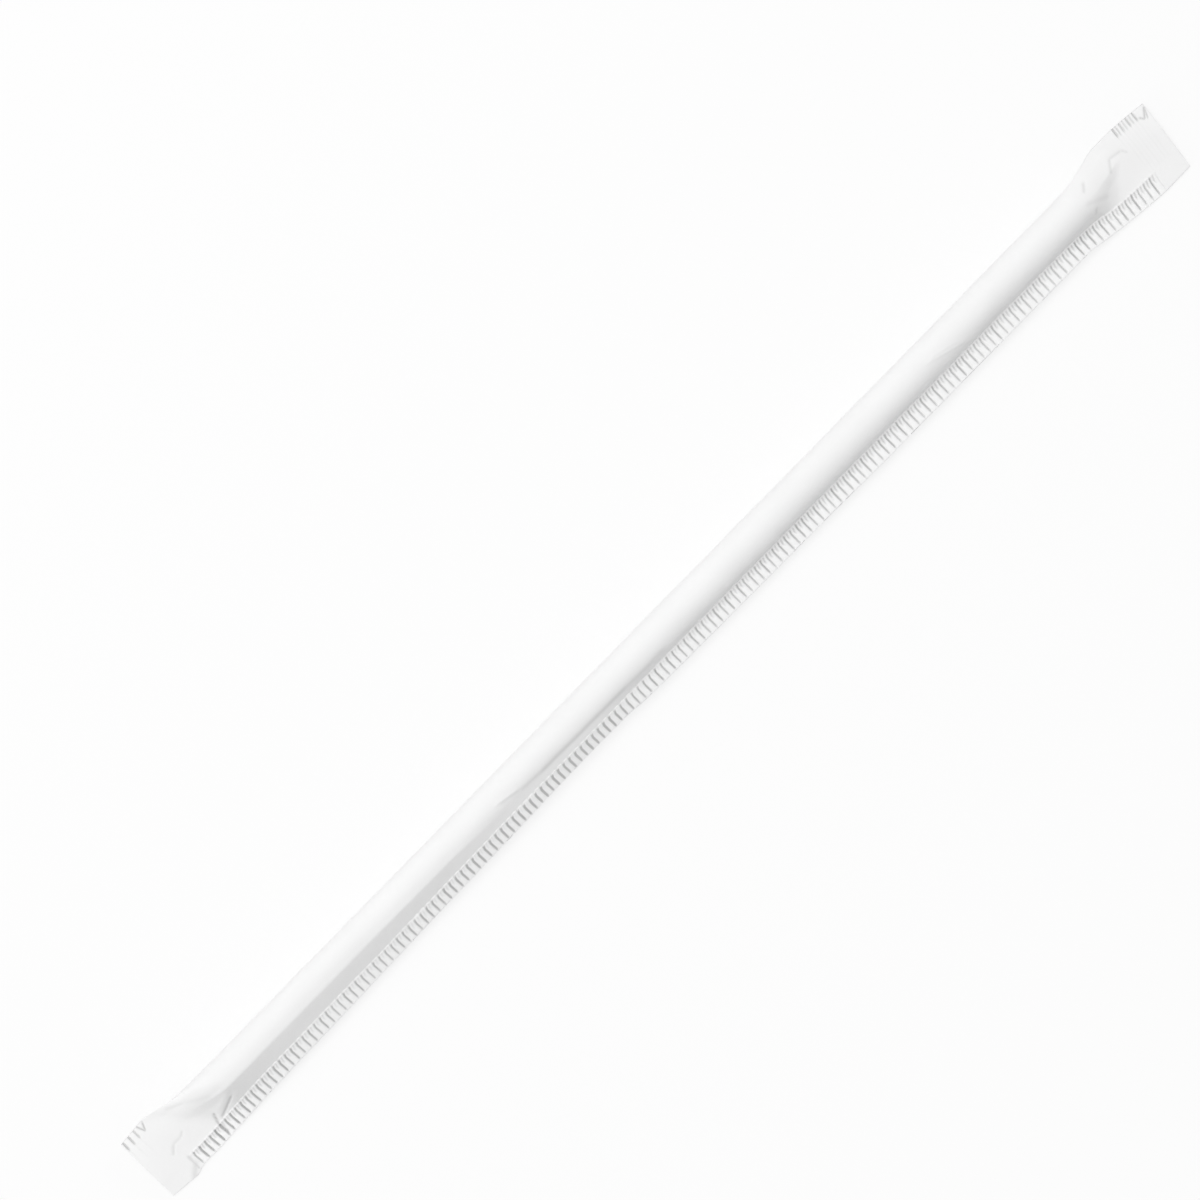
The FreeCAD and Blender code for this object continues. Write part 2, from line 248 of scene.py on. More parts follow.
# The mesh's columns, as shares of the crimps' pitch, and those of them that the tube keeps.
BAND_COLUMNS = (0.0, 0.045, 0.09, 0.15, 0.25, 0.40, 0.5, 0.60, 0.75, 0.85, 0.91, 0.955)
TUBE_COLUMNS = (0.0, 0.25, 0.5, 0.75)
# How far beyond the straw's rims the tube begins to keep every column.
FINE_BEYOND_RIM = 5.0
# How far the last column stands back, because its slant carries the fold's side further on.
SLANT_ROOM = 0.75
# Points along each outline, and the half length over which its bends are rounded.
OUTLINE_STEPS = 240
BEND_SOFTNESS = 0.45
# The straw's axis over the surface, and the paper's length from the seam's root to the fold.
AXIS_HEIGHT = 3.009
HALF_GIRTH = 10.05
# How far the upper layer of the flat ends stands up in its middle.
FLAT_PUFF = 0.25
# Share of the pressed thickness that the seam's outer edge keeps.
EDGE_THICKNESS = 0.15

# Where the first crimp is along the straw.
FIRST_CRIMP = -108.34
# Half width of a groove and how far its inner end bends, as shares of the pitch.
GROOVE_HALF_WIDTH = 0.22
GROOVE_BEND = 0.14
# Spread of the grooves' strength, and the share of its width that a groove without strength would keep.
GROOVE_SPREAD = (0.82, 1.12)
LEAST_WIDTH = 0.65
# Share of its depth that a groove loses towards the band's outer edge.
DEPTH_LOSS = 0.75
# Distances from the nearest crimp, as shares of the pitch, between which the short groove deepens.
SHORT_GROOVE_DEEPENS = (0.30, 0.5)
# Least share across the band that counts as on it.
BAND_START = -0.005
# Shares across the band between which a groove unbends, begins and runs out, and its lip rises and falls.
UNBENDING = (0.05, 0.30)
GROOVE_BEGINS = (0.03, 0.11)
GROOVE_ENDS = (0.80, 1.0)
LIP_RISES = (-0.01, 0.05)
LIP_FALLS = (0.05, 0.15)
SHORT_GROOVE_ENDS = (0.28, 0.55)
# Where the end seals' strokes begin along the straw, and where those at the high end stop.
LOW_SEAL_BEGINS = (-110.55, -110.75)
HIGH_SEAL_BEGINS = (107.3, 107.7)
HIGH_SEAL_ENDS = (112.3, 111.9)
# Where they turn clear near the fold and faint across the flat, in the band's widths from its root.
SEAL_TURNS_CLEAR = (-2.45, -2.70)
SEAL_TURNS_FAINT = (-1.2, -2.2)
# The strokes' strength near the fold and across the flat, and the share of the short ones between them.
LOW_SEAL_STRENGTH = (0.62, 0.09)
HIGH_SEAL_STRENGTH = (0.65, 0.06)
SEAL_SHORT_SHARE = 1.3
# Heights in metres between which the paper's soft unevenness sets in, and its size along the paper.
CRINKLE_HEIGHTS = (0.0002, 0.0012)
CRINKLE_SIZE = 0.007

# The painted shade of a groove at its root, its loss across the band, and the painted shade of a short
# groove.
GROOVE_SHADE = 1.15
SHADE_LOSS = 0.35
SHORT_SHADE = 0.65
# Painted light on the flat ends, where the paper lies doubled, as a share of the band's painted light, and
# where it sets in.
FLAT_END_PAINTED_LIGHT = 0.40
LOW_PAINTED_LIGHT_RISE = (-100.0, -105.0)
HIGH_PAINTED_LIGHT_RISE = (100.0, 105.0)
# Tones of the mottle and of the painted shade in grooves and creases, as shares of the paper's colour; the
# colour of the painted light on the seam's band and flat ends, and its share.
MOTTLE_TONE = 0.93
PAINTED_SHADE_TONE = 0.62
PAINTED_LIGHT_COLOUR = (0.97, 0.97, 0.97, 1.0)
PAINTED_LIGHT_SHARE = 0.8
# The mottle's size in metres, the gain and offset that sharpen it and the fibres, and the share of each.
MOTTLE_SIZE = 0.0045
MOTTLE_CONTRAST = (1.6, -0.45)
FIBRE_CONTRAST = (1.4, -0.5)
MOTTLE_SHARE = 0.45
FIBRE_SHARE = 0.25
# Strength and height in metres of the grain's relief, the mottle's part in it, and the fibres' roughness.
GRAIN_STRENGTH = 0.35
GRAIN_HEIGHT = 0.00004
GRAIN_MOTTLE = 0.6
FIBRE_ROUGHNESS = 0.12
# The mottle and the fibres are drawn out along the straw.
MOTTLE_STRETCH = (0.5, 1.0, 1.0)
FIBRE_STRETCH = (0.45, 1.0, 1.0)
PAPER_GLOSS = 0.25

# The photograph's turn from the straw's length in degrees, and its centre from the straw's, right and up.
PHOTO_TURN = 45.5814
PHOTO_CENTRE = (-9.15, 7.69)
SENSOR_WIDTH = 36.0
WHITE = (1.0, 1.0, 1.0, 1.0)
# The floor's half side in metres, its colour, and how white the camera sees it.
FLOOR_REACH = 6.0
FLOOR_COLOUR = (0.90, 0.90, 0.90, 1.0)
FLOOR_WHITENESS = 0.8
# Place of the key lamp in metres.
KEY_PLACE = (-0.08, 0.37, 0.92)
# The low lamps beyond the ends: name, place in metres, share of the fill's power.
END_FILLS = (
    ("low_end_fill", (-2.30, 0.20, 0.60), 1.2),
    ("high_end_fill", (2.30, 0.20, 0.60), 1.1),
)


class WrapperSizes(PropertyGroup):
    """The paper's sizes, in metres."""

    tube_radius: FloatProperty(
        name="Tube Radius", description="Radius of the paper's round part", default=0.00305, unit="LENGTH"
    )
    ply_gap: FloatProperty(
        name="Pressed Thickness", description="Thickness of both layers", default=0.00013, unit="LENGTH"
    )
    seam_width: FloatProperty(
        name="Seam Width", description="Width of the crimped seam", default=0.0032, unit="LENGTH"
    )
    crimp_pitch: FloatProperty(
        name="Crimp Pitch", description="Distance from crimp to crimp", default=0.00132, unit="LENGTH"
    )
    crimp_depth: FloatProperty(
        name="Crimp Depth", description="Depth of each crimp's groove", default=0.00030, unit="LENGTH"
    )
    half_crimp_depth: FloatProperty(
        name="Half Crimp Depth", description="Depth of the short grooves", default=0.00020, unit="LENGTH"
    )
    crimp_lip: FloatProperty(
        name="Crimp Lip", description="Height of the lip inside each crimp", default=0.00010, unit="LENGTH"
    )
    crinkle: FloatProperty(
        name="Crinkle", description="Height of the paper's soft unevenness", default=0.00022, unit="LENGTH"
    )
    crimp_seed: IntProperty(name="Crimp Seed", description="Seed of the crimps' uneven depth", default=7)


class PaperFinish(PropertyGroup):
    """The uncoated paper's colour and grain."""

    colour: FloatVectorProperty(
        name="Paper Colour", description="Colour of the paper", subtype="COLOR", default=(0.90, 0.90, 0.90)
    )
    roughness: FloatProperty(
        name="Roughness", description="Roughness of the paper", default=0.75, subtype="FACTOR"
    )
    fibre_size: FloatProperty(
        name="Fibre Size", description="Size of the paper's fibre grain", default=0.00025, unit="LENGTH"
    )


class StageSettings(PropertyGroup):
    """Camera and light."""

    lens: FloatProperty(
        name="Lens", description="Focal length in millimetres", default=150.0, unit="CAMERA"
    )
    frame_width: FloatProperty(
        name="Frame Width", description="Width of the picture at the straw", default=0.1878, unit="LENGTH"
    )
    key_power: FloatProperty(
        name="Key Power", description="Power of the soft key lamp in watts", default=5.05, unit="POWER"
    )
    key_size: FloatProperty(name="Key Size", description="Side of the key lamp", default=0.7, unit="LENGTH")
    fill_power: FloatProperty(
        name="Fill Power", description="Power of each end's soft fill in watts", default=10.0, unit="POWER"
    )
    fill_size: FloatProperty(
        name="Fill Size", description="Side of each end's fill lamp", default=0.8, unit="LENGTH"
    )
    world_strength: FloatProperty(name="Even Light", description="Strength of the even light", default=0.50)


class Wire:
    """A node's output, on which sums can be written as Python expressions."""

    def __init__(self, graph, socket):
        self.graph = graph
        self.socket = socket

    def sum(self, operation, first, second):
        return self.graph.node("ShaderNodeMath", {"operation": operation}, [first, second])

    def __add__(self, other):
        return self.sum("ADD", self, other)

    def __sub__(self, other):
        return self.sum("SUBTRACT", self, other)

    def __rsub__(self, other):
        return self.sum("SUBTRACT", other, self)

    def __mul__(self, other):
        return self.sum("MULTIPLY", self, other)

    def __truediv__(self, other):
        return self.sum("DIVIDE", self, other)

    __radd__ = __add__
    __rmul__ = __mul__


class Graph:
    """A node tree, and the one way in which this script adds a node to it."""

    def __init__(self, tree):
        self.tree = tree

    def node(self, kind, settings=None, sockets=(), output=0):
        node = self.tree.nodes.new(kind)
        for name, value in (settings or {}).items():
            setattr(node, name, value)
        pairs = sockets.items() if isinstance(sockets, dict) else enumerate(sockets)
        for key, value in pairs:
            if isinstance(value, Wire):
                self.tree.links.new(value.socket, node.inputs[key])
            else:
                node.inputs[key].default_value = value
        return Wire(self, node.outputs[output]) if node.outputs else None


def along(path, places, column, soft=0.8):
    """A path's column at the given places, with its corners eased over a few millimetres."""
    table = np.array(path)
    reach = np.linspace(-soft, soft, 9)
    weight = 1.0 - np.abs(reach) / (soft * 1.25)
    total = sum(w * np.interp(places + r, table[:, 0], table[:, column]) for r, w in zip(reach, weight))
    return total / weight.sum()


def ease(low, high, value):
    """A smooth step from 0 at low to 1 at high."""
    share = np.clip((value - low) / (high - low), 0.0, 1.0)
    return share * share * (3.0 - 2.0 * share)


def rolling_mean(shape, value, reach=0.12):
    """A shape's value averaged a little to each side, which rounds its corners."""
    return sum(shape(value + step) for step in np.linspace(-reach, reach, 7)) / 7.0


def tooth_number(places, pitch):
    """The crimp that each place along the seam belongs to, with the share of the way to the next."""
    return (places - FIRST_CRIMP) / pitch + along(CRIMP_DRIFT, places, 1, 6.0)


def column_places(pitch):
    """Places along the straw for the mesh's columns, and which of them the tube keeps."""
    last = END_HIGH - SLANT_ROOM
    margin = 0.04
    ruler = np.linspace(END_LOW - 3.0, END_HIGH + 3.0, 2400)
    numbers = tooth_number(ruler, pitch)
    teeth = np.arange(math.floor(numbers[0]), math.ceil(numbers[-1]) + 1)
    places = np.interp((teeth[:, None] + BAND_COLUMNS).ravel(), numbers, ruler)
    kept = np.tile(np.isin(BAND_COLUMNS, TUBE_COLUMNS), len(teeth))
    coarse = kept | (places < RIM_LOW - FINE_BEYOND_RIM) | (places > RIM_HIGH + FINE_BEYOND_RIM)
    inside = (places > END_LOW + margin) & (places < last - margin)
    places = np.concatenate([[END_LOW], places[inside], [last]])
    coarse = np.concatenate([[True], coarse[inside], [True]])
    return places, coarse


def half_outlines(root, bend, radius, length, under):
    """Each column's evenly spaced outline from the seam's root over its bend and then round the straw."""
    steps = np.linspace(0.0, 1.0, OUTLINE_STEPS)
    outlines = []
    for (root_side, root_height), (bend_side, bend_height) in zip(root, bend):
        knee, angle = knee_point(bend_side, bend_height, radius, under)
        corners = np.array([(root_side, root_height), (bend_side, bend_height), knee])
        runs = np.hypot(*np.diff(corners, axis=0).T)
        line = runs.sum()
        reach = steps * length
        turned = angle - (reach - line) / radius * (-1.0 if under else 1.0)
        side = np.interp(reach, np.cumsum([0.0, *runs]), corners[:, 0])
        height = np.interp(reach, np.cumsum([0.0, *runs]), corners[:, 1])
        side = np.where(reach < line, side, -radius * np.sin(turned))
        height = np.where(reach < line, height, AXIS_HEIGHT + radius * np.cos(turned))
        outlines.append(soften(side, height))
    return steps, np.array(outlines)


def soften(side, height):
    """An outline with its bends rounded and its two ends kept."""
    reach = int(OUTLINE_STEPS * BEND_SOFTNESS / HALF_GIRTH)
    weight = np.hanning(2 * reach + 3)[1:-1]
    weight = weight / weight.sum()
    rounded = []
    for line in (side, height):
        before = 2.0 * line[0] - line[reach:0:-1]
        after = 2.0 * line[-1] - line[-2 : -reach - 2 : -1]
        rounded.append(np.convolve(np.concatenate([before, line, after]), weight, mode="valid"))
    return rounded


def knee_point(side, height, radius, under):
    """Where straight paper from a point outside the straw first touches it, and its angle from the top."""
    distance = math.hypot(side, height - AXIS_HEIGHT)
    bearing = math.atan2(-side, height - AXIS_HEIGHT)
    turn = math.acos(min(radius / distance, 1.0))
    angle = bearing + turn if under else bearing - turn
    return (-radius * math.sin(angle), AXIS_HEIGHT + radius * math.cos(angle)), angle


def flatness(places, shares):
    """How far the tube has gone flat, from 0 on the straw to 1 near the wrapper's ends."""
    progress = []
    for shoulder in (LOW_SHOULDER, HIGH_SHOULDER):
        share, start, end = np.array(shoulder).T
        start, end = np.interp(shares, share, start), np.interp(shares, share, end)
        progress.append((places[:, None] - start) / (end - start))
    return rolling_mean(lambda value: np.clip(value, 0.0, 1.0), np.maximum(*progress))


class STRAW_OT_wrapper(Operator):
    """Build the paper wrapper: the tube round the straw, its flat ends and the seam's band"""

    bl_idname = "straw.wrapper"
    bl_label = "Paper Wrapper"

    def execute(self, context):
        sizes = context.scene.wrapper_sizes
        points, faces, marks = wrapper_surface(sizes)
        mesh = bpy.data.meshes.new("paper_wrapper")
        mesh.from_pydata((points * MM).tolist(), [], faces)
        for name, values in marks.items():
            kind, field = ("FLOAT_VECTOR", "vector") if values.ndim == 2 else ("FLOAT", "value")
            layer = mesh.attributes.new(name, kind, "POINT")
            layer.data.foreach_set(field, values.astype(np.float32).ravel())
        mesh.shade_smooth()
        wrapper = bpy.data.objects.new("paper_wrapper", mesh)
        context.scene.collection.objects.link(wrapper)
        paper = paper_material(context.scene.paper_finish)
        press_crimps(wrapper, sizes, paper)
        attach(wrapper, "root")
        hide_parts("wrapped_straw")
        return {"FINISHED"}


def wrapper_surface(sizes):
    """The wrapper's points in millimetres, its faces, and the marks that the crimps and the paper read."""
    pitch = sizes.crimp_pitch / MM
    gap = sizes.ply_gap / MM
    band = sizes.seam_width / MM
    places, coarse = column_places(pitch)
    root, low_root, edge, up = seam_lines(places, gap)
    over, below = tube_halves(places, root, low_root, sizes.tube_radius / MM)
    top, back = seam_band(root, edge, up, gap)
    outline = np.concatenate([over, top, back, below], axis=1)
    side, height = outline[..., 0], outline[..., 1]
    place = places[:, None] + along(LEAN_PATH, places, 1)[:, None] * side

    count = side.shape[1]
    rows = np.arange(count)
    creased = np.where(rows < ROWS_ABOVE, 1.0, flatness(places, np.zeros(count)))
    height = np.maximum(height + creased * crease_field(place, side, 3), 0.0)
    fine_rows = (rows >= len(UPPER_ROWS) - 1) & (rows <= ROWS_ABOVE)
    used = fine_rows[None, :] | coarse[:, None]
    number = np.cumsum(used.ravel()).reshape(used.shape) - 1
    points = np.stack([place, side + AXIS_Y, height], axis=2)[used]

    reach = np.concatenate([
        -UPPER_ROWS * HALF_GIRTH / band, BAND_ROWS, BAND_BACK_ROWS, -LOWER_ROWS * HALF_GIRTH / band
    ])
    marks = crimp_marks(places, place, reach, up, pitch)
    # The creases' painted shade, which the crimps' tree adds to the grooves' painted shade.
    marks["crease"] = creased * crease_field(place, side, 4)
    return points, wall_faces(number, coarse, fine_rows), {name: mark[used] for name, mark in marks.items()}


def seam_lines(places, gap):
    """The seam's root on its upper and its lower layer, its outer edge, and the way up from its band."""
    path = np.stack([along(SEAM_PATH, places, column) for column in (1, 2, 3, 4)], axis=1)
    root, edge = path[:, :2], path[:, 2:]
    out_side, out_height = ((edge - root) / np.hypot(*(edge - root).T)[:, None]).T
    up = np.stack([out_height * np.sign(out_side), np.abs(out_side)], axis=1)
    return root, root - up * gap, edge, up


def seam_band(root, edge, up, gap):
    """The band's upper and its lower layer, which thins towards the outer edge."""
    root = root[:, None, :]
    across = edge[:, None, :] - root
    thickness = gap * (EDGE_THICKNESS + (1.0 - EDGE_THICKNESS) * (1.0 - BAND_BACK_ROWS))
    top = root + across * BAND_ROWS[:, None]
    back = root + across * BAND_BACK_ROWS[:, None] - up[:, None, :] * thickness[:, None]
    return top, back


def tube_halves(places, root, low_root, radius):
    """The paper over and under the straw, round along it and flat beyond its ends."""
    bend = np.stack([along(BEND_PATH, places, column) for column in (1, 2)], axis=1)
    fold = np.stack([along(FOLD_PATH, places, column) for column in (1, 2)], axis=1)
    steps, upper_outlines = half_outlines(root, bend, radius, HALF_GIRTH, False)
    low_length = lower_length(low_root, upper_outlines[:, :, -1], radius)
    lower_outlines = [
        half_outlines([start], [start], radius, length, True)[1][0]
        for start, length in zip(low_root, low_length)
    ]

    def half(outlines, near, shares, puff):
        curves = [[np.interp(shares, steps, line) for line in outline] for outline in outlines]
        curved = np.swapaxes(np.array(curves), 1, 2)
        flat = near[:, None, :] + (fold - near)[:, None, :] * shares[:, None]
        flat[..., 1] += puff * np.sin(math.pi * shares)
        return curved + (flat - curved) * flatness(places, shares)[..., None]

    over = half(upper_outlines, root, UPPER_ROWS, FLAT_PUFF)
    below = half(lower_outlines, low_root, LOWER_ROWS, 0.0)
    return over, below


def crimp_marks(places, place, reach, up, pitch):
    """What the crimps and the paper read at each point: its crimp, its place across, the strengths, and the
    share of painted light.
    """
    every = np.ones_like(place)
    on_band = reach >= BAND_START
    teeth = np.where(on_band, band_strength(places, 1), 0.0)
    short_share = (1.0 - ease(*SHORT_GROOVE_ENDS, reach)) * band_strength(places, 2)
    # Painted light on the flat ends, where the paper lies doubled.
    flat_end_light = FLAT_END_PAINTED_LIGHT * (ease(*LOW_PAINTED_LIGHT_RISE, place) + ease(*HIGH_PAINTED_LIGHT_RISE, place))
    return {
        "crimp_tooth": tooth_number(places, pitch)[:, None] * every,
        "crimp_reach": reach * every,
        "crimp_strength": teeth + seal_strength(place, reach),
        "crimp_press": np.stack([0.0 * every, up[:, :1] * every, up[:, 1:] * every], axis=2),
        "crimp_half": np.where(on_band, short_share, (place > 0.0) * SEAL_SHORT_SHARE),
        # band: the share of painted light on the seam's band, and on the flat ends.
        "band": np.maximum(np.minimum(teeth, 1.0) * ease(0.0, 0.06, reach), flat_end_light),
    }


def lower_length(low_root, meeting, radius):
    """Length of each column's paper from the seam's root under the straw to where the upper half ends."""
    lengths = []
    for (root_side, root_height), (end_side, end_height) in zip(low_root, meeting):
        (knee_side, knee_height), angle = knee_point(root_side, root_height, radius, True)
        end_angle = math.atan2(-end_side, end_height - AXIS_HEIGHT) + 2.0 * math.pi
        line = math.hypot(knee_side - root_side, knee_height - root_height)
        lengths.append(line + radius * (end_angle - angle))
    return lengths


def wall_faces(number, coarse, fine_rows):
    """Faces round the whole loop, with a coarse row's edge shared by the fine row beside it."""
    rows = number.shape[1]
    kept = np.flatnonzero(coarse)
    faces = []
    for row in range(rows):
        after = (row + 1) % rows
        if fine_rows[row] and fine_rows[after]:
            near, far = number[:, row], number[:, after]
            faces += zip(near[:-1], far[:-1], far[1:], near[1:])
            continue
        for start, end in zip(kept, kept[1:]):
            near = [number[c, row] for c in (range(start, end + 1) if fine_rows[row] else (start, end))]
            far = [number[c, after] for c in (range(start, end + 1) if fine_rows[after] else (start, end))]
            faces.append(tuple(far + near[::-1]))
    faces.append(tuple(number[0, ::-1]))
    faces.append(tuple(number[-1]))
    return [tuple(int(point) for point in face) for face in faces]


def band_strength(places, column):
    """How strong the crimps, or the short grooves between them, are at each place along the seam."""
    return along(BAND_STRENGTH, places, column, 0.1)[:, None]


def seal_strength(place, reach):
    """How strong the end seals' lines are: clear at the fold's edge and faint across the flat."""
    (low_clear, low_faint), (high_clear, high_faint) = LOW_SEAL_STRENGTH, HIGH_SEAL_STRENGTH
    near_fold = ease(*SEAL_TURNS_CLEAR, reach)
    low_across = low_clear * near_fold + low_faint * ease(*SEAL_TURNS_FAINT, reach)
    high_across = high_clear * near_fold + high_faint
    low_end = ease(*LOW_SEAL_BEGINS, place) * low_across
    high_end = ease(*HIGH_SEAL_BEGINS, place) * ease(*HIGH_SEAL_ENDS, place) * high_across
    return np.where(reach < BAND_START, low_end + high_end, 0.0)


def crease_field(place, side, column):
    """The folds' and creases' combined height, or their painted shade, at each point of the paper."""
    total = np.zeros_like(place)
    for crease in CREASES:
        (start_x, start_y), (end_x, end_y), width = crease[:3]
        run = np.array([end_x - start_x, end_y - start_y])
        length = np.hypot(*run)
        ahead = ((place - start_x) * run[0] + (side - start_y) * run[1]) / length
        beside = ((place - start_x) * run[1] - (side - start_y) * run[0]) / length
        past_end = ahead - np.clip(ahead, 0.1 * length, 0.9 * length)
        fade = np.exp(-((beside / width) ** 2) - (past_end / max(width, 0.1 * length)) ** 2)
        total = np.where(np.abs(crease[column]) * fade > np.abs(total), crease[column] * fade, total)
    return total


def press_crimps(wrapper, sizes, paper):
    """Press the crimps' grooves into the band with Geometry Nodes, and keep the result as a plain mesh."""
    modifier = wrapper.modifiers.new("Crimps", "NODES")
    modifier.node_group = crimp_tree()
    wanted = {
        "Depth": sizes.crimp_depth,
        "Half Depth": sizes.half_crimp_depth,
        "Lip": sizes.crimp_lip,
        "Crinkle": sizes.crinkle,
        "Groove Width": GROOVE_HALF_WIDTH,
        "Seed": sizes.crimp_seed,
        "Material": paper,
    }
    for item in modifier.node_group.interface.items_tree:
        if item.name in wanted and item.in_out == "INPUT":
            modifier[item.identifier] = wanted[item.name]
    depsgraph = bpy.context.evaluated_depsgraph_get()
    pressed = bpy.data.meshes.new_from_object(wrapper.evaluated_get(depsgraph))
    wrapper.modifiers.remove(modifier)
    pressed.name = "paper_wrapper"
    wrapper.data = pressed


def crimp_tree():
    """The tree that presses a groove at each pitch, and a short one halfway to the next, and keeps their
    and the creases' painted shade on the points.
    """
    tree = bpy.data.node_groups.new("Crimps", "GeometryNodeTree")
    kinds = (
        ("Geometry", "NodeSocketGeometry"),
        ("Depth", "NodeSocketFloat"),
        ("Half Depth", "NodeSocketFloat"),
        ("Lip", "NodeSocketFloat"),
        ("Crinkle", "NodeSocketFloat"),
        ("Groove Width", "NodeSocketFloat"),
        ("Seed", "NodeSocketInt"),
        ("Material", "NodeSocketMaterial"),
    )
    for name, kind in kinds:
        tree.interface.new_socket(name, in_out="INPUT", socket_type=kind)
    tree.interface.new_socket("Geometry", in_out="OUTPUT", socket_type="NodeSocketGeometry")
    graph = Graph(tree)
    entry = tree.nodes.new("NodeGroupInput")
    given = {name: Wire(graph, entry.outputs[name]) for name, _kind in kinds}

    def mark(name, kind="FLOAT"):
        return graph.node("GeometryNodeInputNamedAttribute", {"data_type": kind}, {"Name": name})

    def combine(operation, *values):
        return graph.node("ShaderNodeMath", {"operation": operation}, values)

    def smooth_step(value, low, high):
        sockets = {"Value": value, "From Min": low, "From Max": high}
        return graph.node("ShaderNodeMapRange", {"interpolation_type": "SMOOTHSTEP"}, sockets)

    def scaled(vector, amount):
        return graph.node("ShaderNodeVectorMath", {"operation": "SCALE"}, {0: vector, "Scale": amount})

    reach = mark("crimp_reach")
    turns = mark("crimp_tooth") - (1.0 - smooth_step(reach, *UNBENDING)) * GROOVE_BEND
    tooth = combine("ROUND", turns)
    offset = combine("ABSOLUTE", turns - tooth)
    low, high = GROOVE_SPREAD
    spread = {2: low, 3: high, "ID": tooth, "Seed": given["Seed"]}
    random = graph.node("FunctionNodeRandomValue", {"data_type": "FLOAT"}, spread, 1)
    wide = given["Groove Width"] * (LEAST_WIDTH + (1.0 - LEAST_WIDTH) * mark("crimp_strength"))
    deep = smooth_step(offset, wide, 0.0) * (1.0 - smooth_step(reach, *GROOVE_ENDS) * DEPTH_LOSS)
    off_band = combine("LESS_THAN", reach, BAND_START)
    started = combine("MAXIMUM", smooth_step(reach, *GROOVE_BEGINS), off_band)
    between = smooth_step(offset, *SHORT_GROOVE_DEEPENS) * mark("crimp_half")
    lip = smooth_step(reach, *LIP_RISES) * (1.0 - smooth_step(reach, *LIP_FALLS)) * (1.0 - deep)
    strength = mark("crimp_strength") * random
    depth = strength * (
        given["Depth"] * deep * started + given["Half Depth"] * between * started - given["Lip"] * lip
    )
    # Painted shade for the grooves, the short grooves and the end seals' strokes, plus the creases' painted
    # shade, kept on the points as the groove attribute for the paper's colour.
    shade = deep * (GROOVE_SHADE - reach * SHADE_LOSS) + between * SHORT_SHADE
    shade = strength * started * combine("MINIMUM", shade, 1.0) + mark("crease")
    push = scaled(mark("crimp_press", "FLOAT_VECTOR"), 0.0 - depth)
    place = graph.node("GeometryNodeInputPosition")
    above = graph.node("ShaderNodeSeparateXYZ", None, [place], 2)
    rolling = {"Vector": place, "Scale": 1.0 / CRINKLE_SIZE, "Detail": 2.0}
    wave = graph.node("ShaderNodeTexNoise", None, rolling)
    crinkle = (wave - 0.5) * given["Crinkle"] * smooth_step(above, *CRINKLE_HEIGHTS)
    ripple = scaled(graph.node("GeometryNodeInputNormal"), crinkle)
    push = graph.node("ShaderNodeVectorMath", {"operation": "ADD"}, [push, ripple])
    kept = graph.node(
        "GeometryNodeStoreNamedAttribute",
        {"data_type": "FLOAT", "domain": "POINT"},
        {"Geometry": given["Geometry"], "Name": "groove", "Value": shade},
    )
    moved = graph.node("GeometryNodeSetPosition", None, {"Geometry": kept, "Offset": push})
    whole = graph.node("GeometryNodeRealizeInstances", None, {"Geometry": moved})
    covered = {"Geometry": whole, "Material": given["Material"]}
    finished = graph.node("GeometryNodeSetMaterial", None, covered)
    way_out = tree.nodes.new("NodeGroupOutput")
    tree.links.new(finished.socket, way_out.inputs["Geometry"])
    return tree


def paper_material(finish):
    """Uncoated white paper: a soft mottle, a fine fibre grain, painted shade in the grooves and creases,
    and painted light on the seam's band and the flat ends.
    """
    paper = bpy.data.materials.new("white_paper")
    paper.use_nodes = True
    paper.node_tree.nodes.clear()
    graph = Graph(paper.node_tree)
    place = graph.node("ShaderNodeTexCoord", output=3)

    def noise(size, detail, stretch):
        stretched = graph.node("ShaderNodeMapping", None, {"Vector": place, "Scale": stretch})
        sockets = {"Vector": stretched, "Scale": 1.0 / size, "Detail": detail}
        return graph.node("ShaderNodeTexNoise", None, sockets)

    def tint(share, first, second):
        settings = {"data_type": "RGBA"}
        return graph.node("ShaderNodeMix", settings, {0: share, 6: first, 7: second}, 2)

    # The painted shade of the grooves and creases, and the share of painted light on the seam's band and
    # flat ends.
    groove = graph.node("ShaderNodeAttribute", {"attribute_name": "groove"}, output=2)
    band = graph.node("ShaderNodeAttribute", {"attribute_name": "band"}, output=2)
    cloud = noise(MOTTLE_SIZE, 3.0, MOTTLE_STRETCH)
    fibre = noise(finish.fibre_size, 2.0, FIBRE_STRETCH)
    # The paper's colour, its mottled tone, and its colour under full painted shade, for the grooves and
    # creases.
    base, dim, pressed = (
        (*(channel * tone for channel in finish.colour), 1.0) for tone in (1.0, MOTTLE_TONE, PAINTED_SHADE_TONE)
    )
    sharpen = {"operation": "MULTIPLY_ADD", "use_clamp": True}
    mottle = graph.node("ShaderNodeMath", sharpen, [cloud, *MOTTLE_CONTRAST])
    speck = graph.node("ShaderNodeMath", sharpen, [fibre, *FIBRE_CONTRAST])
    colour = tint(mottle * MOTTLE_SHARE + speck * FIBRE_SHARE, base, dim)
    # Painted light on the seam's band and the flat ends, then painted shade in the grooves and creases.
    colour = tint(band * PAINTED_LIGHT_SHARE, colour, PAINTED_LIGHT_COLOUR)
    colour = tint(groove, colour, pressed)
    relief = {"Strength": GRAIN_STRENGTH, "Distance": GRAIN_HEIGHT, "Height": fibre + cloud * GRAIN_MOTTLE}
    grain = graph.node("ShaderNodeBump", None, relief)
    shader = graph.node(
        "ShaderNodeBsdfPrincipled",
        None,
        {
            "Base Color": colour,
            "Roughness": finish.roughness + FIBRE_ROUGHNESS * fibre,
            "Specular IOR Level": PAPER_GLOSS,
            "Normal": grain,
        },
    )
    graph.node("ShaderNodeOutputMaterial", None, {"Surface": shader})
    return paper


